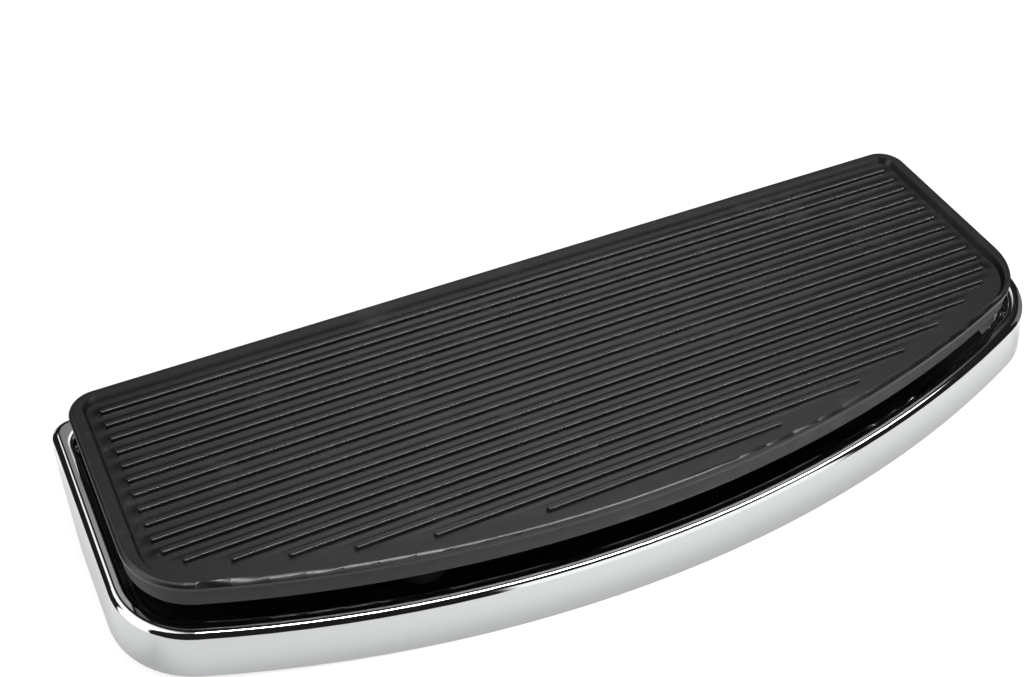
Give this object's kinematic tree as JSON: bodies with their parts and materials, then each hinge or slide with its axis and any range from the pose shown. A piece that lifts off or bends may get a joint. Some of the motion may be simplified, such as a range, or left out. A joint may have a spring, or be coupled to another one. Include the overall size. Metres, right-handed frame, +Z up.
{
  "type": "motorcycle floorboard",
  "caption": "Rider floorboard: chrome-plated pressed pan with pivot brackets and a ribbed rubber tread pad on rubber isolators.",
  "frame": {"origin": "under the middle of the pan's footprint, level with the lowest point of the pivot ears", "axes": "+X along the board, +Y towards the straight inner side that carries the pivots, -Y towards the bowed outer side, +Z up from a level tread"},
  "size_m": [0.3496, 0.135, 0.049],
  "materials": {
    "chrome_plate": "bright chrome plate on pressed steel",
    "bracket_chrome": "chrome plate on thick steel plate",
    "pad_rubber": "moulded black rubber, satin",
    "isolator_rubber": "moulded black rubber, dull"
  },
  "bodies": {
    "root": {"pan": "chrome_plate", "pivot_bracket_left": "bracket_chrome", "pivot_bracket_right": "bracket_chrome", "tread_pad": "pad_rubber", "isolator_inner": "isolator_rubber", "isolator_left_end": "isolator_rubber", "isolator_right_end": "isolator_rubber", "isolator_left_outer": "isolator_rubber", "isolator_right_outer": "isolator_rubber"}
  },
  "joints": []
}
